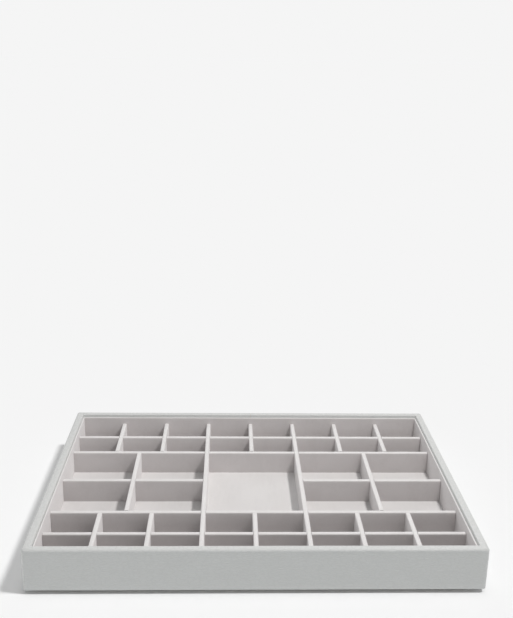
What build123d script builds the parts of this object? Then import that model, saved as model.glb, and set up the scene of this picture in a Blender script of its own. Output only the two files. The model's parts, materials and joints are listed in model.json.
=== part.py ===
from build123d import *
import os

# Shallow stacking jewelry tray: a leather-wrapped board shell, a velvet liner and a grid of
# velvet-covered dividers. Millimetres. +X runs along the long side, +Z is up, the front is at -Y.
# The origin lies under the middle of the tray, on the surface that the tray stands on.

# Shell
tray_length = 445.0
tray_depth = 315.0
tray_height = 48.0
wall_board_thickness = 6.0
base_board_thickness = 3.0
leather_thickness = 1.0
corner_radius = 3.0
rim_edge_radius = 1.6
lip_depth = 14.0
seam_gap = 0.3

# Plinth, which drops inside the liner of a tray below
plinth_drop = 4.0
nest_clearance = 0.5
hem_clearance = 0.3
plinth_lining_thickness = 0.8

# Floor
floor_board_thickness = 1.6
floor_velvet_thickness = 0.8
floor_clearance = 0.3

# Liner round the inside
liner_below_rim = 3.5
liner_clearance = 0.2
liner_board_thickness = 1.2
liner_velvet_thickness = 0.6
liner_edge_radius = 0.5

# Dividers
divider_height = 26.0
divider_core_thickness = 3.8
sleeve_thickness = 0.6
sleeve_edge_radius = 1.5
end_clearance = 0.15
slot_clearance = 0.15
middle_row_depth = 63.0
column_count = 8
centre_column_count = 2

# One overrun serves every cut
overrun = 1.0

# Insets from the outside of the tray, and heights above the surface
rim_width = wall_board_thickness + 2 * leather_thickness
board_face_inset = leather_thickness + wall_board_thickness
liner_back_inset = rim_width + liner_clearance
liner_board_inset = liner_back_inset + liner_board_thickness
liner_face_inset = liner_board_inset + liner_velvet_thickness
plinth_inset = liner_face_inset + nest_clearance
board_edge_radius = rim_edge_radius - leather_thickness
shell_bottom = plinth_drop
board_bottom = shell_bottom + leather_thickness
board_top = tray_height - leather_thickness
base_top = board_bottom + base_board_thickness
floor_board_top = base_top + floor_board_thickness
floor_top = floor_board_top + floor_velvet_thickness
liner_top = tray_height - liner_below_rim
liner_board_top = liner_top - liner_velvet_thickness

# The grid: equal columns, four small rows and two deeper rows between them
small_row_count = 4
middle_row_count = 2
row_divider_count = small_row_count + middle_row_count - 1
divider_thickness = divider_core_thickness + 2 * sleeve_thickness
inner_length = tray_length - 2 * liner_face_inset
inner_depth = tray_depth - 2 * liner_face_inset
column_pitch = (inner_length + divider_thickness) / column_count
column_lines = range(1, column_count)
long_lines = ((column_count - centre_column_count) // 2, (column_count + centre_column_count) // 2)
short_lines = [line for line in column_lines if line not in long_lines]
small_rows_depth = inner_depth - middle_row_count * middle_row_depth - row_divider_count * divider_thickness
small_row_depth = small_rows_depth / small_row_count
outer_cross_y = inner_depth / 2 - small_row_depth - divider_thickness / 2
inner_cross_y = outer_cross_y - small_row_depth - divider_thickness
cross_rows = (outer_cross_y, inner_cross_y, -inner_cross_y, -outer_cross_y)
lap_height = divider_height / 2
slot_width = divider_thickness + 2 * slot_clearance


def line_x(line):
    """Middle of the column line, counted from the left."""
    return (line - column_count / 2) * column_pitch


def slab(inset, low, high, radius=0.0):
    """A block with the tray's outline moved inwards by the inset."""
    length = tray_length - 2 * inset
    depth = tray_depth - 2 * inset
    outline = RectangleRounded(length, depth, radius) if radius > 0 else Rectangle(length, depth)
    return Pos(0, 0, low) * extrude(outline, high - low)


def ring(outer_inset, inner_inset, low, high, radius=0.0):
    """A frame between two insets."""
    return slab(outer_inset, low, high, radius) - slab(inner_inset, low - overrun, high + overrun)


def round_top(solid, radius):
    """Round both edges along the top of a frame."""
    return fillet(solid.faces().sort_by(Axis.Z)[-1].edges(), radius)


def mitred_sides(frame):
    """Cut a frame into its four sides, mitred at the corners."""
    across = tray_length / 2 + overrun
    along = tray_depth / 2 + overrun
    reach = tray_depth / 4
    front_left = (-across, -along)
    front_left_inside = (reach - across, reach - along)
    front = [front_left, (across, -along), (across - reach, reach - along), front_left_inside]
    left = [front_left, front_left_inside, (reach - across, along - reach), (-across, along)]
    pairs = (("front", "back", front, Plane.XZ), ("left", "right", left, Plane.YZ))
    sides = {}
    for name, opposite, outline, plane in pairs:
        wedge = extrude(make_face(Polyline(*outline, close=True)), tray_height + overrun)
        sides[name] = frame & wedge
        sides[opposite] = mirror(sides[name], plane)
    return sides


def make_wall_boards():
    board_corner_radius = corner_radius - leather_thickness
    frame = ring(leather_thickness, board_face_inset, board_bottom, board_top, board_corner_radius)
    return mitred_sides(round_top(frame, board_edge_radius))


def make_base_board():
    return slab(board_face_inset, board_bottom, base_top)


def make_leather_wrap():
    """One strip: turned under as a hem, up the outside, over the rim and down inside as a lip."""
    skin = slab(0, shell_bottom, tray_height, corner_radius)
    rim_and_foot = skin.faces().sort_by(Axis.Z)
    skin = fillet(rim_and_foot[0].edges() + rim_and_foot[-1].edges(), rim_edge_radius)
    skin -= slab(leather_thickness, board_bottom, board_top, corner_radius - leather_thickness)
    skin -= slab(rim_width, board_top - overrun, tray_height + overrun)
    skin -= slab(plinth_inset - hem_clearance, shell_bottom - overrun, board_bottom + overrun)
    skin += ring(board_face_inset, rim_width, tray_height - lip_depth, board_top)
    skin = fillet(skin.faces().sort_by(Axis.Z)[-1].inner_wires()[0].edges(), rim_edge_radius)
    seam = Box(seam_gap, 2 * plinth_inset, 2 * (tray_height + overrun))
    return skin - Pos(0, tray_depth / 2, 0) * seam


def make_plinth_board():
    return slab(plinth_inset, plinth_lining_thickness, board_bottom, corner_radius)


def make_plinth_lining():
    return slab(plinth_inset, 0, plinth_lining_thickness, corner_radius)


def make_floor_board():
    return slab(board_face_inset + floor_clearance, base_top, floor_board_top)


def make_floor_velvet():
    return slab(board_face_inset + floor_clearance, floor_board_top, floor_top)


def make_liner_boards():
    return mitred_sides(ring(liner_back_inset, liner_board_inset, floor_top, liner_board_top))


def make_liner_velvets():
    """Velvet over the top edge and down the inner face of each liner board."""
    cover = round_top(ring(liner_back_inset, liner_face_inset, floor_top, liner_top), liner_edge_radius)
    return mitred_sides(cover - ring(liner_back_inset - overrun, liner_board_inset, 0, liner_board_top))


def bar(length, thickness, height, edge_radius):
    """A divider blank along X, standing on zero, rounded along its top."""
    blank = Box(length, thickness, height, align=(Align.CENTER, Align.CENTER, Align.MIN))
    top_edges = blank.edges().filter_by(Axis.X).sort_by(Axis.Z)[-2:]
    return fillet(top_edges, edge_radius)


def make_divider(length, slots, slots_open_upwards):
    """Core and velvet sleeve of one divider along X, with half-lap slots at the given places."""
    core_height = divider_height - sleeve_thickness
    core_edge_radius = sleeve_edge_radius - sleeve_thickness
    core = bar(length, divider_core_thickness, core_height, core_edge_radius)
    hollow = bar(length + 2 * overrun, divider_core_thickness, core_height, core_edge_radius)
    sleeve = bar(length, divider_thickness, divider_height, sleeve_edge_radius) - hollow
    slot_low = lap_height - slot_clearance if slots_open_upwards else -overrun
    slot_high = divider_height + overrun if slots_open_upwards else lap_height + slot_clearance
    slot_box = Box(slot_width, divider_thickness + 2 * overrun, slot_high - slot_low,
                   align=(Align.CENTER, Align.CENTER, Align.MIN))
    for place in slots:
        slot = Pos(place, 0, slot_low) * slot_box
        core -= slot
        sleeve -= slot
    return core, sleeve


def cross_divider(start, end, y, crossings):
    """A divider from left to right, slotted from above where lengthwise dividers cross it."""
    middle = (start + end) / 2
    places = [crossing - middle for crossing in crossings]
    pieces = make_divider(end - start - 2 * end_clearance, places, True)
    return [Pos(middle, y, floor_top) * piece for piece in pieces]


def lengthwise_divider(start, end, x, crossings):
    """A divider from front to back, slotted from below where cross dividers carry it."""
    middle = (start + end) / 2
    places = [crossing - middle for crossing in crossings]
    pieces = make_divider(end - start - 2 * end_clearance, places, False)
    return [Pos(x, middle, floor_top) * Rot(0, 0, 90) * piece for piece in pieces]


def make_dividers():
    """Core and sleeve of every divider, by name."""
    half_length = inner_length / 2
    half_depth = inner_depth / 2
    half_divider = divider_thickness / 2
    all_lines = [line_x(line) for line in column_lines]
    long_places = [line_x(line) for line in long_lines]
    block_end = long_places[0] - half_divider
    block_middle = (block_end - half_length) / 2
    row_face = inner_cross_y + half_divider

    dividers = {}
    for number, y in enumerate(cross_rows, 1):
        crossings = all_lines if abs(y) == outer_cross_y else long_places
        dividers[f"cross_{number}"] = cross_divider(-half_length, half_length, y, crossings)
    for side, x in zip(("left", "right"), long_places):
        dividers[f"long_{side}"] = lengthwise_divider(-half_depth, half_depth, x, cross_rows)
    for line in short_lines:
        x = line_x(line)
        dividers[f"short_back_{line}"] = lengthwise_divider(row_face, half_depth, x, [outer_cross_y])
        dividers[f"short_front_{line}"] = lengthwise_divider(-half_depth, -row_face, x, [-outer_cross_y])
    block_depth = inner_cross_y - half_divider
    dividers["block_cross_left"] = cross_divider(-half_length, block_end, 0, [block_middle])
    dividers["block_cross_right"] = cross_divider(-block_end, half_length, 0, [-block_middle])
    dividers["block_middle_left"] = lengthwise_divider(-block_depth, block_depth, block_middle, [0])
    dividers["block_middle_right"] = lengthwise_divider(-block_depth, block_depth, -block_middle, [0])
    return dividers


def collect_nodes():
    nodes = {
        "base_board": make_base_board(),
        "leather_wrap": make_leather_wrap(),
        "plinth_board": make_plinth_board(),
        "plinth_lining": make_plinth_lining(),
        "floor_board": make_floor_board(),
        "floor_velvet": make_floor_velvet(),
    }
    sided = (
        ("wall_board", make_wall_boards()),
        ("liner_board", make_liner_boards()),
        ("liner_velvet", make_liner_velvets()),
    )
    for name, sides in sided:
        for side, solid in sides.items():
            nodes[f"{name}_{side}"] = solid
    for name, (core, sleeve) in make_dividers().items():
        nodes[f"{name}_core"] = core
        nodes[f"{name}_sleeve"] = sleeve
    return nodes


os.makedirs("parts", exist_ok=True)
for node_name, node_solid in collect_nodes().items():
    export_step(node_solid, f"parts/{node_name}.step")
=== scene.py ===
import json
import math

import bmesh
import bpy
from bpy.props import FloatProperty, FloatVectorProperty, PointerProperty
from mathutils import Euler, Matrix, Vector

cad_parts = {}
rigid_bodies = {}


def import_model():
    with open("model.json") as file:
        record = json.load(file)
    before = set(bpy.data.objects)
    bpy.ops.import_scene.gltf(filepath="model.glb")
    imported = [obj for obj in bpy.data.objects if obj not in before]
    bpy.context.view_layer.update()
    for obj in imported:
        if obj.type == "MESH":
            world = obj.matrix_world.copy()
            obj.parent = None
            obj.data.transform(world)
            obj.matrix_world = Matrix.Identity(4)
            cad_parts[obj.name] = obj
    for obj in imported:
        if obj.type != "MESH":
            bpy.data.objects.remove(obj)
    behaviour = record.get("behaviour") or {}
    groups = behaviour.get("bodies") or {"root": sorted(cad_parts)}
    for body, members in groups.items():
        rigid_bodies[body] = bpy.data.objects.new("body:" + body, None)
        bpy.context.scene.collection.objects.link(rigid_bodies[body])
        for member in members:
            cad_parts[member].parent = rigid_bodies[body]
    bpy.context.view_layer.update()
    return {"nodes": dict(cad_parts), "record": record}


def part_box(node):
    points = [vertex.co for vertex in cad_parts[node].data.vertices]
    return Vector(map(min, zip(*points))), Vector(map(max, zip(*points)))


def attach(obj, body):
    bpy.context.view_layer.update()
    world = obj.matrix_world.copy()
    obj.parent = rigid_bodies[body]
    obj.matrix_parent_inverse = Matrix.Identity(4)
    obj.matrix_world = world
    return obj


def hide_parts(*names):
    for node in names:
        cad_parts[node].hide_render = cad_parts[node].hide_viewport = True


bl_info = {
    "name": "Jewelry Tray",
    "version": (1, 0, 0),
    "blender": (4, 5, 0),
    "location": "View3D > Sidebar > Jewelry Tray",
    "description": "Covers the boards of a divided jewelry tray in pebbled leather and velvet",
    "category": "Object",
}

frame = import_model()

MM = 0.001
X, Y, Z = range(3)
BODY = "root"

# How near two places count as one, and how square an edge or face has to be to an axis
SLACK = 0.01 * MM
EDGE_SQUARE = 0.999
FACE_SQUARE = 0.9
SMOOTH_ANGLE = math.radians(50)

# Sizes of the covers that a user has no need to change
HEM_CLEARANCE = 0.3 * MM
LINER_EDGE_RADIUS = 0.8 * MM
LINER_TURNED_IN = 3 * MM
FLOOR_EDGE_RADIUS = 0.4 * MM
LINING_EDGE_RADIUS = 0.3 * MM

# Share of its solid's thickness that a cover takes, so that it stays clear of its boards
LEATHER_SHARE = 0.9
SLEEVE_SHARE = 0.95

# Width of the uneven waves, and depth of the small ones as a share of the wide ones
LEATHER_WAVE = 60 * MM
LEATHER_RIPPLE = 9 * MM
LEATHER_RIPPLE_SHARE = 0.35
VELVET_WAVE = 35 * MM
VELVET_RIPPLE = 7 * MM
VELVET_RIPPLE_SHARE = 0.5

# How far rubbing reaches from an edge, and how strong it is along the rim's inner edge
RIM_WEAR = 2 * MM
CORNER_WEAR = 3 * MM
INNER_WEAR_SHARE = 0.6

# Widths of the suns as seen from the tray, which soften their shadows
SIDE_FILL_WIDTH = math.radians(40)
FRONT_FILL_WIDTH = math.radians(16)
FLOOR_KEY_WIDTH = math.radians(8)
FLOOR_FILL_WIDTH = math.radians(30)

# How wide the floor is and how far the camera sees, so that the floor reaches the horizon
FLOOR_SIZE = 60
CAMERA_RANGE = 200

# Camera, fitted to the tray's edges in the photograph
PHOTO_HEIGHT_PIXELS = 618
FOCAL_LENGTH_PIXELS = 850.8
SENSOR_WIDTH = 36
CAMERA_PLACE = (-27.69 * MM, -856.84 * MM, 504.17 * MM)
CAMERA_PITCH = math.radians(17.27)
CAMERA_YAW = math.radians(1.89)
CAMERA_ROLL = math.radians(-0.96)

# Places from the frame
cover_low, cover_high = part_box("leather_wrap")
wall_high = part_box("wall_board_front")[1]
plinth_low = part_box("plinth_board")[0]
liner_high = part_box("liner_velvet_front")[1]
liner_board_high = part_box("liner_board_front")[1]
leather_thickness = cover_high.z - wall_high.z
rim_width = wall_high.y - cover_low.y + leather_thickness
hem_width = plinth_low.y - cover_low.y - HEM_CLEARANCE
velvet_thickness = liner_high.z - liner_board_high.z


class TrayProportions(bpy.types.PropertyGroup):
    """Sizes of the covers that the boards leave open."""

    corner_radius: FloatProperty(
        name="Corner radius", description="Rounding of the shell's upright corners",
        default=3.4 * MM, min=1 * MM, max=8 * MM, unit="LENGTH")
    rim_radius: FloatProperty(
        name="Rim radius", description="Rounding of the leather where it turns over the rim's outer edge",
        default=2.3 * MM, min=0.5 * MM, max=3.5 * MM, unit="LENGTH")
    fold_radius: FloatProperty(
        name="Fold radius", description="Rounding of the leather at the rim's inner edge and round the foot",
        default=0.9 * MM, min=0.3 * MM, max=3 * MM, unit="LENGTH")
    lip_depth: FloatProperty(
        name="Lip depth", description="How far the leather goes down inside the rim",
        default=14 * MM, min=8 * MM, max=20 * MM, unit="LENGTH")
    seam_gap: FloatProperty(
        name="Seam gap", description="Gap of the butted seam at the back",
        default=0.25 * MM, min=0.05 * MM, max=1 * MM, unit="LENGTH")
    leather_swell: FloatProperty(
        name="Leather swell", description="Unevenness of the glued leather",
        default=0.22 * MM, min=0, max=1 * MM, unit="LENGTH")
    sleeve_radius: FloatProperty(
        name="Sleeve radius", description="Rounding of the velvet along the top of a divider",
        default=1.4 * MM, min=0.5 * MM, max=2.4 * MM, unit="LENGTH")
    velvet_swell: FloatProperty(
        name="Velvet swell", description="Unevenness of the velvet on its boards",
        default=0.25 * MM, min=0, max=1 * MM, unit="LENGTH")
    cut_spacing: FloatProperty(
        name="Cut spacing", description="Distance between the cuts that let a cover follow its unevenness",
        default=5 * MM, min=2 * MM, max=20 * MM, unit="LENGTH")


class TrayColours(bpy.types.PropertyGroup):
    """Colours of the tray's materials."""

    leather: FloatVectorProperty(
        name="Leather", description="Pebbled leather of the shell", subtype="COLOR",
        default=(0.610, 0.623, 0.6155), min=0, max=1)
    # Painted shade: this darker leather is mixed in between the pebbles where shade falls, and is also the
    # darker tone of the random patches
    leather_shade_and_patches: FloatVectorProperty(
        name="Leather crease", description="Leather between the pebbles", subtype="COLOR",
        default=(0.545, 0.559, 0.551), min=0, max=1)
    leather_worn: FloatVectorProperty(
        name="Worn leather", description="Leather where edges are rubbed", subtype="COLOR",
        default=(0.664, 0.659, 0.650), min=0, max=1)
    velvet: FloatVectorProperty(
        name="Velvet", description="Velvet on floors and divider tops", subtype="COLOR",
        default=(0.733, 0.724, 0.718), min=0, max=1)
    # Painted shade: a darker copy of the velvet for upright faces, standing in for the shade they get under
    # the lamps; the pile does not really point down
    velvet_side: FloatVectorProperty(
        name="Velvet sides", description="Velvet on upright faces, where the pile points down",
        subtype="COLOR", default=(0.598, 0.573, 0.571), min=0, max=1)
    velvet_nap: FloatVectorProperty(
        name="Velvet nap", description="What the velvet's colour is multiplied by where it is brushed",
        subtype="COLOR", default=(0.90, 0.895, 0.89), min=0, max=1)
    felt: FloatVectorProperty(
        name="Felt", description="Lining under the plinth", subtype="COLOR",
        default=(0.55, 0.54, 0.53), min=0, max=1)
    fibreboard: FloatVectorProperty(
        name="Fibreboard", description="Boards inside the leather", subtype="COLOR",
        default=(0.34, 0.22, 0.13), min=0, max=1)
    card: FloatVectorProperty(
        name="Grey card", description="Cores of the dividers and liners", subtype="COLOR",
        default=(0.39, 0.37, 0.33), min=0, max=1)
    background: FloatVectorProperty(
        name="Background", description="Floor and backdrop", subtype="COLOR",
        default=(0.913, 0.913, 0.913), min=0, max=1)


class TrayLights(bpy.types.PropertyGroup):
    """Strengths, places and colour of the studio light."""

    key: FloatProperty(
        name="Key", description="Lamp high on the right, on the tray alone",
        default=23.2, min=0, max=200, unit="POWER")
    key_place: FloatVectorProperty(
        name="Key place", description="Where the key lamp hangs",
        default=(0.27, -0.075, 0.70), subtype="TRANSLATION", unit="LENGTH")
    key_size: FloatProperty(
        name="Key size", description="Width of the key lamp, which softens its shadows",
        default=0.07, min=0.01, max=1, unit="LENGTH")
    key_colour: FloatVectorProperty(
        name="Key colour", description="Colour of the key lamp, a little warm", subtype="COLOR",
        default=(1, 0.97, 0.96), min=0, max=1)
    right_fill: FloatProperty(
        name="Right fill", description="Soft light on the tray from the right",
        default=0.573, min=0, max=20)
    left_fill: FloatProperty(
        name="Left fill", description="Soft light on the tray from the left",
        default=0.93, min=0, max=20)
    left_turn: FloatProperty(
        name="Left turn", description="How far the left fill stands towards the back",
        default=math.radians(25), min=0, max=math.pi / 2, subtype="ANGLE")
    fill_height: FloatProperty(
        name="Fill height", description="Angle of both side fills above the floor",
        default=math.radians(20), min=0, max=math.pi / 2, subtype="ANGLE")
    front_fill: FloatProperty(
        name="Front fill", description="Low light on the tray from the front",
        default=0.275, min=0, max=20)
    front_height: FloatProperty(
        name="Front height", description="Angle of the front fill above the floor",
        default=math.radians(15), min=0, max=math.pi / 2, subtype="ANGLE")
    floor_key: FloatProperty(
        name="Floor key", description="Light that lays the shadow on the floor",
        default=1.827, min=0, max=20)
    floor_fill: FloatProperty(
        name="Floor fill", description="Soft light straight down on the floor",
        default=0.423, min=0, max=20)
    floor_key_height: FloatProperty(
        name="Floor key height", description="Angle of the floor key above the floor",
        default=math.radians(60.5), min=0, max=math.pi / 2, subtype="ANGLE")
    floor_key_turn: FloatProperty(
        name="Floor key turn", description="How far the floor key stands to the front",
        default=math.radians(8), min=0, max=math.pi / 2, subtype="ANGLE")
    ambient: FloatProperty(
        name="Ambient", description="Even light from all round",
        default=0.359, min=0, max=5)


# Modelling helpers

def deselect_everything():
    for thing in bpy.context.view_layer.objects:
        thing.select_set(False)


def make_active(piece):
    deselect_everything()
    piece.select_set(True)
    bpy.context.view_layer.objects.active = piece


def apply_transform():
    bpy.ops.object.transform_apply(location=True, rotation=True, scale=True)


def add_block(name, low, high):
    """A cube primitive at its size and place, with its place in its mesh."""
    deselect_everything()
    bpy.ops.mesh.primitive_cube_add(size=1, location=(low + high) / 2, scale=high - low)
    piece = bpy.context.object
    piece.name = name
    piece.data.name = name
    apply_transform()
    return piece


def select(piece, kind, test):
    """In edit mode, select only the edges or faces that pass the test."""
    bpy.ops.mesh.select_mode(type={"edges": "EDGE", "faces": "FACE"}[kind])
    mesh = bmesh.from_edit_mesh(piece.data)
    for element in (*mesh.faces, *mesh.edges, *mesh.verts):
        element.select_set(False)
    for element in getattr(mesh, kind):
        if test(element):
            element.select_set(True)
    mesh.select_flush_mode()
    bmesh.update_edit_mesh(piece.data)


def near(a, b):
    return abs(a - b) < SLACK


def edge_middle(edge):
    return (edge.verts[0].co + edge.verts[1].co) / 2


def edge_runs_along(edge, axis):
    run = (edge.verts[1].co - edge.verts[0].co).normalized()
    return abs(run[axis]) > EDGE_SQUARE


def face_middle(face):
    return face.calc_center_median()


def faces_along(face, axis):
    return abs(face.normal[axis]) > FACE_SQUARE


def faces_up(face):
    return face.normal.z > FACE_SQUARE


def faces_down(face):
    return face.normal.z < -FACE_SQUARE


def cut_across(piece, axis, places):
    """Cut all faces with planes square to the axis."""
    normal = Vector([float(index == axis) for index in range(3)])
    for place in places:
        bpy.ops.mesh.select_all(action="SELECT")
        bpy.ops.mesh.bisect(plane_co=normal * place, plane_no=normal)


def even_places(start, end, spacing):
    """Places between two ends, evenly spaced and no further apart than the spacing."""
    count = max(1, math.ceil((end - start) / spacing))
    return [start + (end - start) * step / count for step in range(1, count)]


def apply_modifier(piece, kind, **values):
    make_active(piece)
    modifier = piece.modifiers.new(kind.title(), kind)
    for name, value in values.items():
        setattr(modifier, name, value)
    bpy.ops.object.modifier_apply(modifier=modifier.name)


def clouds(name, size):
    texture = bpy.data.textures.get(name) or bpy.data.textures.new(name, "CLOUDS")
    texture.noise_scale = size
    return texture


def swell(piece, name, size, strength):
    """Move the surface along its normals by smooth noise."""
    apply_modifier(piece, "DISPLACE", texture=clouds(name, size), strength=strength, mid_level=0.5,
                   texture_coords="GLOBAL")


def finish_piece(piece, material, node):
    """Smooth a piece, give it its material and put it in its node's place."""
    make_active(piece)
    bpy.ops.object.shade_smooth_by_angle(angle=SMOOTH_ANGLE)
    piece.data.materials.clear()
    piece.data.materials.append(material)
    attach(piece, BODY)
    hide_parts(node)


def copy_piece(piece, name):
    twin = piece.copy()
    twin.data = piece.data.copy()
    twin.name = name
    twin.data.name = name
    bpy.context.scene.collection.objects.link(twin)
    return twin


def half_turn(piece):
    """Turn a copy's mesh by half a turn about the middle of the tray."""
    make_active(piece)
    bpy.ops.transform.rotate(value=math.pi, orient_axis="Z", center_override=(0, 0, 0))
    apply_transform()


def shift(piece, offset):
    make_active(piece)
    bpy.ops.transform.translate(value=offset)
    apply_transform()


# Node helpers

# What a ramp gives at the low and the high end of its span
RISING = (0.0, 1.0)
FALLING = (1.0, 0.0)

# Places of the mix node's sockets when it mixes colours
MIX_INPUTS = (0, 6, 7)
MIX_RESULT = 2


def opaque(colour):
    return (*colour, 1)


def link(tree, start, end):
    tree.links.new(start, end)


def feed(tree, value, socket):
    """Put a plain value on the socket, or link another node's output to it."""
    if isinstance(value, (int, float, tuple)):
        socket.default_value = value
    else:
        link(tree, value, socket)


def add_node(tree, kind, at, **values):
    node = tree.nodes.new(kind)
    node.location = at
    for name, value in values.items():
        setattr(node, name, value)
    return node


def math_node(tree, operation, first, second, at):
    node = add_node(tree, "ShaderNodeMath", at, operation=operation)
    for socket, value in zip(node.inputs, (first, second)):
        feed(tree, value, socket)
    return node.outputs[0]


def ramp(tree, value, span, at, to=RISING):
    """Follow a value smoothly over its span, from the first to the second result."""
    node = add_node(tree, "ShaderNodeMapRange", at, interpolation_type="SMOOTHSTEP")
    for name, number in zip(("From Min", "From Max", "To Min", "To Max"), (*span, *to)):
        node.inputs[name].default_value = number
    link(tree, value, node.inputs["Value"])
    return node.outputs["Result"]


def mix_colour(tree, factor, first, second, at, blend="MIX"):
    node = add_node(tree, "ShaderNodeMix", at, data_type="RGBA", blend_type=blend)
    for index, value in zip(MIX_INPUTS, (factor, first, second)):
        feed(tree, value, node.inputs[index])
    return node.outputs[MIX_RESULT]


def noise(tree, vector, per_metre, at, detail, roughness=0.5):
    node = add_node(tree, "ShaderNodeTexNoise", at)
    for name, value in (("Scale", per_metre), ("Detail", detail), ("Roughness", roughness)):
        feed(tree, value, node.inputs[name])
    link(tree, vector, node.inputs["Vector"])
    return node.outputs["Fac"]


def object_coordinates(tree, at=(-1000, 0), stretch=(1, 1, 1)):
    x, y = at
    place = add_node(tree, "ShaderNodeTexCoord", at)
    mapping = add_node(tree, "ShaderNodeMapping", (x + 200, y))
    mapping.inputs["Scale"].default_value = stretch
    link(tree, place.outputs["Object"], mapping.inputs["Vector"])
    return mapping.outputs["Vector"]


def new_group(name, inputs, outputs):
    """A shader node group with named sockets; returns the tree and its two ends."""
    tree = bpy.data.node_groups.new(name, "ShaderNodeTree")
    for socket_name, default in inputs.items():
        socket = tree.interface.new_socket(socket_name, in_out="INPUT", socket_type="NodeSocketFloat")
        socket.default_value = default
    for socket_name in outputs:
        tree.interface.new_socket(socket_name, in_out="OUTPUT", socket_type="NodeSocketFloat")
    start = add_node(tree, "NodeGroupInput", (-1200, 0))
    end = add_node(tree, "NodeGroupOutput", (900, 0))
    return tree, start, end


def pebble_grain_group():
    """Leather pebbles, wider than they are high, and the creases between them."""
    widening = (0.28, 0.28, 1.0)
    bends_per_metre = 300
    bend_reach = (1.1 * MM,) * 3
    smoothness = 0.35
    dome_span = (0.05, 0.75)
    crease_span = (0.0, 0.16)
    crease_depth = 0.55
    swells_per_metre = 90
    patches_per_metre = 22

    tree, start, end = new_group("pebble_grain", {"Pebbles per Metre": 620.0, "Unevenness": 0.35},
                                 ("Height", "Crease", "Patches"))
    vector = object_coordinates(tree, stretch=widening)
    warp = add_node(tree, "ShaderNodeTexNoise", (-600, -200))
    warp.inputs["Scale"].default_value = bends_per_metre
    link(tree, vector, warp.inputs["Vector"])
    bend = add_node(tree, "ShaderNodeVectorMath", (-400, -200), operation="MULTIPLY_ADD")
    bend.inputs[1].default_value = bend_reach
    link(tree, warp.outputs["Color"], bend.inputs[0])
    link(tree, vector, bend.inputs[2])
    cells = add_node(tree, "ShaderNodeTexVoronoi", (-200, 100), feature="SMOOTH_F1")
    cells.inputs["Smoothness"].default_value = smoothness
    edges = add_node(tree, "ShaderNodeTexVoronoi", (-200, -200), feature="DISTANCE_TO_EDGE")
    for voronoi in (cells, edges):
        link(tree, start.outputs["Pebbles per Metre"], voronoi.inputs["Scale"])
        link(tree, bend.outputs[0], voronoi.inputs["Vector"])
    dome = ramp(tree, cells.outputs["Distance"], dome_span, (0, 100), FALLING)
    crease = ramp(tree, edges.outputs["Distance"], crease_span, (0, -200), FALLING)
    broad = noise(tree, vector, swells_per_metre, (-200, -450), detail=3)
    uneven = math_node(tree, "MULTIPLY", broad, start.outputs["Unevenness"], (0, -450))
    sunk = math_node(tree, "MULTIPLY", crease, crease_depth, (200, -200))
    raised = math_node(tree, "SUBTRACT", dome, sunk, (400, 0))
    patches = noise(tree, vector, patches_per_metre, (0, -650), detail=3)
    link(tree, math_node(tree, "ADD", raised, uneven, (600, 0)), end.inputs["Height"])
    link(tree, crease, end.inputs["Crease"])
    link(tree, patches, end.inputs["Patches"])
    return tree


def velvet_pile_group():
    """Short pile: fine fibres, and soft patches where it is brushed the other way; also a mask of the
    upright faces, which the velvet material paints darker as painted shade.
    """
    upright_span = (0.15, 0.75)
    tufts_per_metre = 620
    fibre_share = 0.6
    patches_per_metre = 46
    patch_stretch = (1.0, 0.35, 0.6)
    patch_share = 0.7
    streaks_per_metre = 260
    streak_stretch = (1.0, 0.2, 1.0)
    streak_share = 0.3
    nap_span = (0.38, 0.64)

    tree, start, end = new_group("velvet_pile", {"Fibres per Metre": 2400.0, "Brushing": 0.5},
                                 ("Height", "Nap", "Fibre", "Upright"))
    facing = add_node(tree, "ShaderNodeTexCoord", (-1000, 400))
    parts = add_node(tree, "ShaderNodeSeparateXYZ", (-800, 400))
    link(tree, facing.outputs["Normal"], parts.inputs[0])
    # Mask of the upright faces, which carry the painted shade of the velvet's sides
    upright = ramp(tree, parts.outputs["Z"], upright_span, (-500, 400), FALLING)
    vector = object_coordinates(tree)
    fibre = noise(tree, vector, start.outputs["Fibres per Metre"], (-500, 100), detail=3, roughness=0.7)
    tuft = noise(tree, vector, tufts_per_metre, (-500, -150), detail=2)
    piled = math_node(tree, "MULTIPLY", fibre, fibre_share, (-250, 100))
    height = math_node(tree, "ADD", piled, tuft, (0, 0))
    brushed = object_coordinates(tree, (-1000, -450), patch_stretch)
    patch = noise(tree, brushed, patches_per_metre, (-500, -450), detail=3, roughness=0.6)
    drawn_out = object_coordinates(tree, (-1000, -750), streak_stretch)
    streak = noise(tree, drawn_out, streaks_per_metre, (-500, -750), detail=2)
    both = math_node(tree, "ADD", math_node(tree, "MULTIPLY", patch, patch_share, (-250, -450)),
                     math_node(tree, "MULTIPLY", streak, streak_share, (-250, -750)), (0, -500))
    nap = ramp(tree, both, nap_span, (200, -500))
    link(tree, upright, end.inputs["Upright"])
    link(tree, math_node(tree, "MULTIPLY", nap, start.outputs["Brushing"], (400, -500)), end.inputs["Nap"])
    link(tree, height, end.inputs["Height"])
    link(tree, fibre, end.inputs["Fibre"])
    return tree


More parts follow.
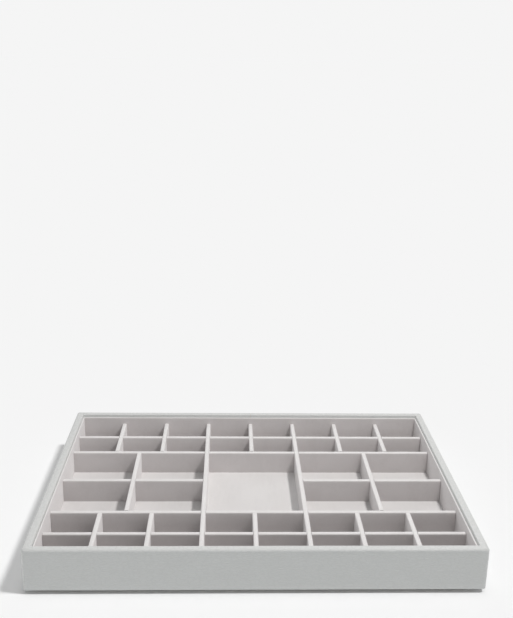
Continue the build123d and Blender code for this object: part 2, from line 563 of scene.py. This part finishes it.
def fibre_specks_group():
    """Pressed fibres with darker and lighter specks, as in felt, card and fibreboard."""
    stretch = (1.0, 0.5, 1.0)
    fine_share = 0.75
    patches_per_metre = 60
    patch_share = 0.25
    speck_span = (0.38, 0.62)

    tree, start, end = new_group("fibre_specks", {"Specks per Metre": 1500.0, "Amount": 0.5},
                                 ("Speck", "Height"))
    vector = object_coordinates(tree, stretch=stretch)
    fine = noise(tree, vector, start.outputs["Specks per Metre"], (-500, 100), detail=4, roughness=0.75)
    broad = noise(tree, vector, patches_per_metre, (-500, -200), detail=2)
    both = math_node(tree, "ADD", math_node(tree, "MULTIPLY", fine, fine_share, (-250, 100)),
                     math_node(tree, "MULTIPLY", broad, patch_share, (-250, -200)), (0, 0))
    speck = ramp(tree, both, speck_span, (200, 0))
    link(tree, math_node(tree, "MULTIPLY", speck, start.outputs["Amount"], (400, 0)), end.inputs["Speck"])
    link(tree, fine, end.inputs["Height"])
    return tree


def edge_wear_group():
    """Broken rubbing where the edge_wear attribute marks an edge."""
    breaks_per_metre = 240
    broken_span = (0.36, 0.66)

    tree, start, end = new_group("edge_wear", {"Amount": 0.6}, ("Worn",))
    edge = add_node(tree, "ShaderNodeAttribute", (-600, 100), attribute_name="edge_wear")
    broken = noise(tree, object_coordinates(tree), breaks_per_metre, (-600, -200), detail=4, roughness=0.65)
    patchy = ramp(tree, broken, broken_span, (-300, -200))
    worn = math_node(tree, "MULTIPLY", edge.outputs["Fac"], patchy, (0, 0))
    link(tree, math_node(tree, "MULTIPLY", worn, start.outputs["Amount"], (250, 0)), end.inputs["Worn"])
    return tree


def place_group(tree, name, maker, at, **values):
    node = add_node(tree, "ShaderNodeGroup", at, node_tree=bpy.data.node_groups.get(name) or maker())
    for socket, value in values.items():
        node.inputs[socket.replace("_", " ")].default_value = value
    return node


def new_material(name, colour, roughness, specular):
    material = bpy.data.materials.new(name)
    material.use_nodes = True
    material.diffuse_color = opaque(colour)
    shader = material.node_tree.nodes["Principled BSDF"]
    shader.inputs["Roughness"].default_value = roughness
    shader.inputs["Specular IOR Level"].default_value = specular
    return material, material.node_tree, shader


def bump(tree, height, shader, relief):
    node = add_node(tree, "ShaderNodeBump", (-250, -400))
    node.inputs["Distance"].default_value = relief
    link(tree, height, node.inputs["Height"])
    link(tree, node.outputs["Normal"], shader.inputs["Normal"])


def pebbled_leather():
    crease_shade_share = 0.45
    patch_span = (0.3, 0.7)
    patch_strength = (0.0, 0.07)
    crease_span = (0.0, 1.0)
    crease_roughness = (0.46, 0.7)

    colours = bpy.context.scene.tray_colours
    shade_and_patch_colour = opaque(colours.leather_shade_and_patches)
    material, tree, shader = new_material("pebbled_leather", colours.leather, roughness=0.5, specular=0.18)
    grain = place_group(tree, "pebble_grain", pebble_grain_group, (-900, 0), Pebbles_per_Metre=620.0)
    wear = place_group(tree, "edge_wear", edge_wear_group, (-900, 300), Amount=0.25)
    # Painted shade between the pebbles: the crease mask mixes in the darker leather colour; the patches
    # below use the same colour as uneven tone
    crease_shade = math_node(tree, "MULTIPLY", grain.outputs["Crease"], crease_shade_share, (-700, 100))
    base = mix_colour(tree, crease_shade, opaque(colours.leather), shade_and_patch_colour, (-500, 200))
    darkened = ramp(tree, grain.outputs["Patches"], patch_span, (-700, -150), patch_strength)
    patchy = mix_colour(tree, darkened, base, shade_and_patch_colour, (-350, 250))
    worn = mix_colour(tree, wear.outputs["Worn"], patchy, opaque(colours.leather_worn), (-200, 300))
    link(tree, worn, shader.inputs["Base Color"])
    rough = ramp(tree, grain.outputs["Crease"], crease_span, (-350, -100), crease_roughness)
    link(tree, rough, shader.inputs["Roughness"])
    bump(tree, grain.outputs["Height"], shader, relief=0.11 * MM)
    return material


def velvet():
    fibre_span = (0.3, 0.7)
    fibre_shade = (0.0, 0.3)

    colours = bpy.context.scene.tray_colours
    material, tree, shader = new_material("brushed_velvet", colours.velvet, roughness=0.95, specular=0.1)
    shader.inputs["Sheen Weight"].default_value = 0.8
    shader.inputs["Sheen Roughness"].default_value = 0.5
    pile = place_group(tree, "velvet_pile", velvet_pile_group, (-900, 0), Brushing=0.5)
    # Painted shade: upright faces take the darker side colour, standing in for the shade they get under the
    # lamps
    cloth = mix_colour(tree, pile.outputs["Upright"], opaque(colours.velvet), opaque(colours.velvet_side),
                       (-650, 300))
    shade = ramp(tree, pile.outputs["Fibre"], fibre_span, (-700, -100), fibre_shade)
    brushed = math_node(tree, "MAXIMUM", pile.outputs["Nap"], shade, (-500, 0))
    napped = mix_colour(tree, brushed, cloth, opaque(colours.velvet_nap), (-300, 200), "MULTIPLY")
    link(tree, napped, shader.inputs["Base Color"])
    bump(tree, pile.outputs["Height"], shader, relief=0.10 * MM)
    return material


def specked(name, colour, roughness, specular, specks_per_metre, amount, darkening, relief):
    """A material of pressed fibres, with specks of its own colour made darker."""
    material, tree, shader = new_material(name, colour, roughness, specular)
    specks = place_group(tree, "fibre_specks", fibre_specks_group, (-900, 0),
                         Specks_per_Metre=specks_per_metre, Amount=amount)
    darker = [darkening * channel for channel in colour]
    tone = mix_colour(tree, specks.outputs["Speck"], opaque(colour), opaque(darker), (-400, 200))
    link(tree, tone, shader.inputs["Base Color"])
    bump(tree, specks.outputs["Height"], shader, relief)
    return material, shader


def felt():
    material, shader = specked(
        "lining_felt", bpy.context.scene.tray_colours.felt, roughness=0.95, specular=0.1,
        specks_per_metre=1700.0, amount=0.55, darkening=0.72, relief=0.2 * MM)
    shader.inputs["Sheen Weight"].default_value = 0.1
    return material


def fibreboard():
    return specked(
        "fibreboard", bpy.context.scene.tray_colours.fibreboard, roughness=0.85, specular=0.25,
        specks_per_metre=900.0, amount=0.6, darkening=0.6, relief=0.06 * MM)[0]


def grey_card():
    return specked(
        "grey_card", bpy.context.scene.tray_colours.card, roughness=0.85, specular=0.25,
        specks_per_metre=1400.0, amount=0.6, darkening=0.75, relief=0.06 * MM)[0]


MATERIAL_MAKERS = {
    "pebbled_leather": pebbled_leather,
    "brushed_velvet": velvet,
    "lining_felt": felt,
    "fibreboard": fibreboard,
    "grey_card": grey_card,
}


def material_named(name):
    """The material of that name, made on its first use."""
    return bpy.data.materials.get(name) or MATERIAL_MAKERS[name]()


# Pieces

class TRAY_OT_leather_cover(bpy.types.Operator):
    """One strip of leather: hem, outside, rim and lip, butted at the back"""

    bl_idname = "tray.leather_cover"
    bl_label = "Leather Cover"

    def execute(self, context):
        sizes = context.scene.tray_proportions
        cover = add_block("leather_cover", cover_low, cover_high)
        bpy.ops.object.mode_set(mode="EDIT")
        self.open_top(cover, sizes)
        self.open_bottom(cover)
        self.round_edges(cover, sizes)
        for axis, margin in ((X, rim_width), (Y, rim_width), (Z, sizes.rim_radius)):
            cut_across(cover, axis, even_places(cover_low[axis] + margin, cover_high[axis] - margin,
                                                sizes.cut_spacing))
        self.open_seam(cover, sizes)
        bpy.ops.object.mode_set(mode="OBJECT")
        swell(cover, "leather_swell", LEATHER_WAVE, sizes.leather_swell)
        swell(cover, "leather_ripple", LEATHER_RIPPLE, sizes.leather_swell * LEATHER_RIPPLE_SHARE)
        apply_modifier(cover, "SOLIDIFY", thickness=leather_thickness * LEATHER_SHARE, offset=-1)
        self.mark_wear(cover)
        finish_piece(cover, material_named("pebbled_leather"), "leather_wrap")
        return {"FINISHED"}

    def open_top(self, cover, sizes):
        """Inset the rim and sink the lip, leaving the inside open."""
        select(cover, "faces", faces_up)
        bpy.ops.mesh.inset(thickness=rim_width, depth=0)
        bpy.ops.mesh.extrude_region_move(TRANSFORM_OT_translate={"value": (0, 0, -sizes.lip_depth)})
        bpy.ops.mesh.delete(type="FACE")

    def open_bottom(self, cover):
        """Inset the hem and open what the plinth covers."""
        select(cover, "faces", faces_down)
        bpy.ops.mesh.inset(thickness=hem_width, depth=0)
        bpy.ops.mesh.delete(type="FACE")

    def round_edges(self, cover, sizes):
        """Round the upright corners, then the rim's outer edge, then its inner edge and the foot."""

        def is_corner(edge):
            middle = edge_middle(edge)
            outside = near(abs(middle.x), cover_high.x) and near(abs(middle.y), cover_high.y)
            return edge_runs_along(edge, Z) and outside

        def is_turned(edge):
            if len(edge.link_faces) != 2:
                return False
            upright, level = sorted(abs(face.normal.z) for face in edge.link_faces)
            return upright < 1 - FACE_SQUARE and level > FACE_SQUARE

        def is_outer_rim(edge):
            middle = edge_middle(edge)
            side = min(cover_high.x - abs(middle.x), cover_high.y - abs(middle.y))
            return near(middle.z, cover_high.z) and side < rim_width / 2

        select(cover, "edges", is_corner)
        bpy.ops.mesh.bevel(offset=sizes.corner_radius, segments=6, affect="EDGES")
        select(cover, "edges", lambda edge: is_turned(edge) and is_outer_rim(edge))
        bpy.ops.mesh.bevel(offset=sizes.rim_radius, segments=7, affect="EDGES")
        select(cover, "edges", lambda edge: is_turned(edge) and not is_outer_rim(edge))
        bpy.ops.mesh.bevel(offset=sizes.fold_radius, segments=4, affect="EDGES")

    def open_seam(self, cover, sizes):
        """Leave a hairline gap where the strip's ends meet at the back."""
        half = sizes.seam_gap / 2
        cut_across(cover, X, (-half, half))
        select(cover, "faces", lambda face: abs(face_middle(face).x) < half and face_middle(face).y > 0)
        bpy.ops.mesh.delete(type="FACE")

    def mark_wear(self, cover):
        """Store how strongly each point of the mesh lies on a rubbed edge."""
        layer = cover.data.attributes.new("edge_wear", "FLOAT", "POINT")
        for vertex, value in zip(cover.data.vertices, layer.data):
            value.value = self.wear_at(vertex.co)

    @staticmethod
    def wear_at(point):
        """Full on the outer rim edge and the upright corners, less on the rim's inner edge."""

        def fading(distance, reach):
            return max(0.0, 1 - distance / reach)

        drop = cover_high.z - point.z
        nearer, farther = sorted((cover_high.x - abs(point.x), cover_high.y - abs(point.y)))
        rim = fading(drop, RIM_WEAR) * fading(nearer, RIM_WEAR)
        inner = fading(drop, RIM_WEAR) * fading(abs(nearer - rim_width), RIM_WEAR)
        return max(rim, INNER_WEAR_SHARE * inner, fading(farther, CORNER_WEAR))


class TRAY_OT_velvet_liner(bpy.types.Operator):
    """Velvet folded over the top of the four liner boards"""

    bl_idname = "tray.velvet_liner"
    bl_label = "Velvet Liner"

    def execute(self, context):
        sizes = context.scene.tray_proportions
        for axis, near_side, far_side in ((X, "front", "back"), (Y, "left", "right")):
            strip = self.make_strip(axis, near_side, sizes)
            twin = copy_piece(strip, f"velvet_liner_{far_side}")
            half_turn(twin)
            for piece, side in ((strip, near_side), (twin, far_side)):
                swell(piece, "velvet_swell", VELVET_WAVE, sizes.velvet_swell)
                apply_modifier(piece, "SOLIDIFY", thickness=velvet_thickness, offset=-1)
                finish_piece(piece, material_named("brushed_velvet"), f"liner_velvet_{side}")
        return {"FINISHED"}

    def make_strip(self, axis, side, sizes):
        """A sheet up the inner face, over the top edge and a little way down behind it."""
        low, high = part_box(f"liner_velvet_{side}")
        across = Y if axis == X else X
        fold = high.z - LINER_TURNED_IN

        def is_top_edge(edge):
            return edge_runs_along(edge, axis) and near(edge_middle(edge).z, high.z)

        def is_behind(face):
            return face.normal[across] < -FACE_SQUARE and face_middle(face).z < fold

        strip = add_block(f"velvet_liner_{side}", low, high)
        bpy.ops.object.mode_set(mode="EDIT")
        select(strip, "faces", lambda face: faces_along(face, axis) or faces_down(face))
        bpy.ops.mesh.delete(type="FACE")
        select(strip, "edges", is_top_edge)
        bpy.ops.mesh.bevel(offset=LINER_EDGE_RADIUS, segments=4, affect="EDGES")
        cut_across(strip, Z, (fold,))
        select(strip, "faces", is_behind)
        bpy.ops.mesh.delete(type="FACE")
        cut_across(strip, axis, even_places(low[axis], high[axis], sizes.cut_spacing))
        cut_across(strip, Z, even_places(low.z, fold, sizes.cut_spacing))
        self.mitre_ends(axis)
        bpy.ops.object.mode_set(mode="OBJECT")
        return strip

    def mitre_ends(self, axis):
        """Cut both ends at 45 degrees through the liner's corners."""
        corner_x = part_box("liner_velvet_front")[1].x
        corner_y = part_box("liner_velvet_back")[1].y
        for sign in (-1, 1):
            if axis == X:
                point = (sign * corner_x, -corner_y, 0)
                normal = (sign, 1, 0)
            else:
                point = (-corner_x, sign * corner_y, 0)
                normal = (1, sign, 0)
            bpy.ops.mesh.select_all(action="SELECT")
            bpy.ops.mesh.bisect(plane_co=point, plane_no=Vector(normal).normalized(), clear_outer=True)


class TRAY_OT_velvet_floor(bpy.types.Operator):
    """Velvet on the floor card, under the whole grid"""

    bl_idname = "tray.velvet_floor"
    bl_label = "Velvet Floor"

    def execute(self, context):
        sizes = context.scene.tray_proportions
        low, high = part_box("floor_velvet")
        floor = add_block("velvet_floor", low, high)
        bpy.ops.object.mode_set(mode="EDIT")
        select(floor, "edges", lambda edge: near(edge_middle(edge).z, high.z))
        bpy.ops.mesh.bevel(offset=FLOOR_EDGE_RADIUS, segments=2, affect="EDGES")
        for axis in (X, Y):
            cut_across(floor, axis, even_places(low[axis], high[axis], sizes.cut_spacing))
        bpy.ops.object.mode_set(mode="OBJECT")
        swell(floor, "velvet_swell", VELVET_WAVE, sizes.velvet_swell)
        finish_piece(floor, material_named("brushed_velvet"), "floor_velvet")
        return {"FINISHED"}


class TRAY_OT_divider_sleeves(bpy.types.Operator):
    """Velvet sleeves over the divider cores, slotted where they cross"""

    bl_idname = "tray.divider_sleeves"
    bl_label = "Divider Sleeves"

    def execute(self, context):
        sizes = context.scene.tray_proportions
        sleeves = sorted(name for name in frame["nodes"] if name.endswith("_sleeve"))
        cross = [name for name in sleeves if self.run_axis(name) == X]
        lengthwise = [name for name in sleeves if self.run_axis(name) == Y]
        made = {}
        for axis, names, others in ((X, cross, lengthwise), (Y, lengthwise, cross)):
            for name in names:
                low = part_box(name)[0]
                slots = self.crossings(name, axis, others)
                kind = self.kind_of(name, axis, slots)
                if kind in made:
                    twin = copy_piece(bpy.data.objects[f"velvet_{made[kind]}"], f"velvet_{name}")
                    shift(twin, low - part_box(made[kind])[0])
                else:
                    self.make_sleeve(name, axis, slots, sizes)
                    made[kind] = name
        for name in sleeves:
            piece = bpy.data.objects[f"velvet_{name}"]
            swell(piece, "velvet_swell", VELVET_WAVE, sizes.velvet_swell)
            swell(piece, "velvet_ripple", VELVET_RIPPLE, sizes.velvet_swell * VELVET_RIPPLE_SHARE)
            finish_piece(piece, material_named("brushed_velvet"), name)
        return {"FINISHED"}

    @staticmethod
    def run_axis(name):
        low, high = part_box(name)
        return X if high.x - low.x > high.y - low.y else Y

    @staticmethod
    def kind_of(name, axis, slots):
        """What sleeves of one shape share: direction, length and slots, to a hundredth of a millimetre."""
        low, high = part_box(name)
        middle = (low[axis] + high[axis]) / 2
        measures = (high[axis] - low[axis], *(slot - middle for slot in slots))
        return (axis, *(round(measure / MM, 2) for measure in measures))

    @staticmethod
    def crossings(name, axis, others):
        """Where the other dividers pass through this one, along its run."""
        low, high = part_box(name)
        across = Y if axis == X else X
        middle = (low[across] + high[across]) / 2
        places = []
        for other in others:
            other_low, other_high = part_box(other)
            place = (other_low[axis] + other_high[axis]) / 2
            if other_low[across] < middle < other_high[across] and low[axis] < place < high[axis]:
                places.append(place)
        return sorted(places)

    def make_sleeve(self, name, axis, slots, sizes):
        """A folded sheet, open below, with its slots from above on cross dividers and else from below."""
        low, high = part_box(name)
        across = Y if axis == X else X
        half = (high[across] - low[across]) / 2
        lap = (low.z + high.z) / 2
        shoulder = high.z - sizes.sleeve_radius

        def is_top_edge(edge):
            return edge_runs_along(edge, axis) and near(edge_middle(edge).z, high.z)

        def in_slot(face):
            middle = face_middle(face)
            over = any(abs(middle[axis] - place) < half for place in slots)
            return over and (middle.z > lap if axis == X else middle.z < lap)

        sleeve = add_block(f"velvet_{name}", low, high)
        bpy.ops.object.mode_set(mode="EDIT")
        select(sleeve, "faces", lambda face: faces_down(face) or faces_along(face, axis))
        bpy.ops.mesh.delete(type="FACE")
        select(sleeve, "edges", is_top_edge)
        bpy.ops.mesh.bevel(offset=sizes.sleeve_radius, segments=5, affect="EDGES")
        cut_across(sleeve, axis, [place + side for place in slots for side in (-half, half)])
        cut_across(sleeve, Z, [lap, *even_places(low.z, lap, sizes.cut_spacing),
                               *even_places(lap, shoulder, sizes.cut_spacing)])
        select(sleeve, "faces", in_slot)
        bpy.ops.mesh.delete(type="FACE")
        cut_across(sleeve, axis, even_places(low[axis], high[axis], sizes.cut_spacing))
        bpy.ops.object.mode_set(mode="OBJECT")
        apply_modifier(sleeve, "SOLIDIFY", thickness=velvet_thickness * SLEEVE_SHARE, offset=-1)


class TRAY_OT_plinth_lining(bpy.types.Operator):
    """Felt under the plinth, with soft cut edges"""

    bl_idname = "tray.plinth_lining"
    bl_label = "Plinth Lining"

    def execute(self, context):
        sizes = context.scene.tray_proportions
        low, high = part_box("plinth_lining")
        lining = add_block("felt_lining", low, high)
        bpy.ops.object.mode_set(mode="EDIT")
        select(lining, "edges", lambda edge: edge_runs_along(edge, Z))
        bpy.ops.mesh.bevel(offset=sizes.corner_radius, segments=6, affect="EDGES")
        select(lining, "edges", lambda edge: near(edge_middle(edge).z, low.z))
        bpy.ops.mesh.bevel(offset=LINING_EDGE_RADIUS, segments=3, affect="EDGES")
        bpy.ops.object.mode_set(mode="OBJECT")
        finish_piece(lining, material_named("lining_felt"), "plinth_lining")
        return {"FINISHED"}


class TRAY_OT_boards(bpy.types.Operator):
    """Finish of the boards and cards behind the covers"""

    bl_idname = "tray.boards"
    bl_label = "Boards and Cards"

    def execute(self, context):
        finishes = {"fibreboard": "fibreboard", "card": "grey_card"}
        slots = {entry["node"]: entry["material_slot"] for entry in frame["record"]["subparts"]}
        for name, board in frame["nodes"].items():
            if slots[name] in finishes:
                board.data.materials.clear()
                board.data.materials.append(material_named(finishes[slots[name]]))
        return {"FINISHED"}


class TRAY_OT_stage(bpy.types.Operator):
    """Floor, backdrop, studio light and camera"""

    bl_idname = "tray.stage"
    bl_label = "Stage"

    def execute(self, context):
        lights = context.scene.tray_lights
        background = tuple(context.scene.tray_colours.background)
        floor = self.make_floor(background)
        self.make_world(background, lights.ambient)
        self.make_lights(lights, floor)
        self.make_camera(context)
        context.scene.view_settings.view_transform = "Standard"
        return {"FINISHED"}

    def make_floor(self, background):
        deselect_everything()
        bpy.ops.mesh.primitive_plane_add(size=FLOOR_SIZE, location=(0, 0, 0))
        floor = bpy.context.object
        floor.name = "floor"
        material, _, shader = new_material("floor_paper", background, roughness=0.95, specular=0)
        shader.inputs["Base Color"].default_value = opaque(background)
        floor.data.materials.append(material)
        return floor

    def make_world(self, background, ambient):
        """White ambient light, with the backdrop's own colour where it is seen or mirrored."""
        world = bpy.data.worlds.new("studio")
        bpy.context.scene.world = world
        world.use_nodes = True
        tree = world.node_tree
        light = tree.nodes["Background"]
        light.inputs["Color"].default_value = (1, 1, 1, 1)
        light.inputs["Strength"].default_value = ambient
        backdrop = add_node(tree, "ShaderNodeBackground", (0, -200))
        backdrop.inputs["Color"].default_value = opaque(background)
        rays = add_node(tree, "ShaderNodeLightPath", (-400, 200)).outputs
        seen = math_node(tree, "MAXIMUM", rays["Is Camera Ray"], rays["Is Glossy Ray"], (-200, 300))
        seen = math_node(tree, "MAXIMUM", seen, rays["Is Transmission Ray"], (0, 200))
        mix = add_node(tree, "ShaderNodeMixShader", (200, 0))
        link(tree, seen, mix.inputs[0])
        link(tree, light.outputs[0], mix.inputs[1])
        link(tree, backdrop.outputs[0], mix.inputs[2])
        link(tree, mix.outputs[0], tree.nodes["World Output"].inputs["Surface"])

    def make_lights(self, lights, floor):
        """A key and three soft fills for the tray alone, and two suns for the floor alone."""
        key = self.add_light("key", "POINT", lights.key, lights.key_place, color=lights.key_colour,
                             shadow_soft_size=lights.key_size / 2)
        self.keep_even(key.data)
        right, left, front = 0, math.pi, -math.pi / 2
        tray_lamps = (
            key,
            self.add_sun("right_fill", lights.right_fill, right, lights.fill_height, SIDE_FILL_WIDTH),
            self.add_sun("left_fill", lights.left_fill, left - lights.left_turn, lights.fill_height,
                         SIDE_FILL_WIDTH),
            self.add_sun("front_fill", lights.front_fill, front, lights.front_height, FRONT_FILL_WIDTH),
        )
        floor_lamps = (
            self.add_sun("floor_key", lights.floor_key, right - lights.floor_key_turn,
                         lights.floor_key_height, FLOOR_KEY_WIDTH),
            self.add_sun("floor_fill", lights.floor_fill, right, math.pi / 2, FLOOR_FILL_WIDTH),
        )
        floor_alone = bpy.data.collections.new("lit_by_floor_lamps")
        tray_alone = bpy.data.collections.new("lit_by_tray_lamps")
        for collection, lamps in ((floor_alone, floor_lamps), (tray_alone, tray_lamps)):
            collection.objects.link(floor)
            for lamp in lamps:
                lamp.light_linking.receiver_collection = collection
        tray_alone.collection_objects[0].light_linking.link_state = "EXCLUDE"

    def add_sun(self, name, strength, turn, height, width):
        """A sun that shines from this turn round the tray and this angle above the floor."""
        reach = math.cos(height)
        place = (reach * math.cos(turn), reach * math.sin(turn), math.sin(height))
        return self.add_light(name, "SUN", strength, place, angle=width)

    @staticmethod
    def add_light(name, kind, energy, place, **values):
        """A lamp that looks at the origin."""
        data = bpy.data.lights.new(name, kind)
        data.energy = energy
        for value_name, value in values.items():
            setattr(data, value_name, value)
        lamp = bpy.data.objects.new(name, data)
        lamp.location = place
        lamp.rotation_euler = (Vector() - Vector(place)).to_track_quat("-Z", "Y").to_euler()
        bpy.context.scene.collection.objects.link(lamp)
        return lamp

    @staticmethod
    def keep_even(lamp):
        """Keep the lamp's light from falling off with distance, as if it were large and far."""
        lamp.use_nodes = True
        tree = lamp.node_tree
        falloff = add_node(tree, "ShaderNodeLightFalloff", (-200, 0))
        falloff.inputs["Strength"].default_value = 1
        link(tree, falloff.outputs["Constant"], tree.nodes["Emission"].inputs["Strength"])

    def make_camera(self, context):
        data = bpy.data.cameras.new("camera")
        data.sensor_width = SENSOR_WIDTH
        data.lens = FOCAL_LENGTH_PIXELS / PHOTO_HEIGHT_PIXELS * SENSOR_WIDTH
        data.clip_end = CAMERA_RANGE
        camera = bpy.data.objects.new("camera", data)
        context.scene.collection.objects.link(camera)
        camera.location = CAMERA_PLACE
        aim = Euler((math.pi / 2 - CAMERA_PITCH, 0, -CAMERA_YAW), "XYZ").to_matrix()
        camera.rotation_euler = (aim @ Euler((0, 0, -CAMERA_ROLL)).to_matrix()).to_euler()
        context.scene.camera = camera


class TRAY_PT_sidebar(bpy.types.Panel):
    """The tray's settings and the steps that make it"""

    bl_label = "Jewelry Tray"
    bl_idname = "TRAY_PT_sidebar"
    bl_space_type = "VIEW_3D"
    bl_region_type = "UI"
    bl_category = "Jewelry Tray"

    def draw(self, context):
        layout = self.layout
        scene = context.scene
        for settings in (scene.tray_proportions, scene.tray_colours, scene.tray_lights):
            box = layout.box()
            for name in settings.bl_rna.properties.keys():
                if name not in {"rna_type", "name"}:
                    box.prop(settings, name)
        for operator in PIECE_OPERATORS:
            layout.operator(operator.bl_idname)


PIECE_OPERATORS = (
    TRAY_OT_leather_cover,
    TRAY_OT_velvet_liner,
    TRAY_OT_velvet_floor,
    TRAY_OT_divider_sleeves,
    TRAY_OT_plinth_lining,
    TRAY_OT_boards,
    TRAY_OT_stage,
)
CLASSES = (TrayProportions, TrayColours, TrayLights, *PIECE_OPERATORS, TRAY_PT_sidebar)


def register():
    for cls in CLASSES:
        bpy.utils.register_class(cls)
    bpy.types.Scene.tray_proportions = PointerProperty(type=TrayProportions)
    bpy.types.Scene.tray_colours = PointerProperty(type=TrayColours)
    bpy.types.Scene.tray_lights = PointerProperty(type=TrayLights)


def unregister():
    del bpy.types.Scene.tray_lights
    del bpy.types.Scene.tray_colours
    del bpy.types.Scene.tray_proportions
    for cls in reversed(CLASSES):
        bpy.utils.unregister_class(cls)


def main():
    register()
    bpy.ops.tray.leather_cover()
    bpy.ops.tray.velvet_liner()
    bpy.ops.tray.velvet_floor()
    bpy.ops.tray.divider_sleeves()
    bpy.ops.tray.plinth_lining()
    bpy.ops.tray.boards()
    bpy.ops.tray.stage()


if __name__ == "__main__":
    main()
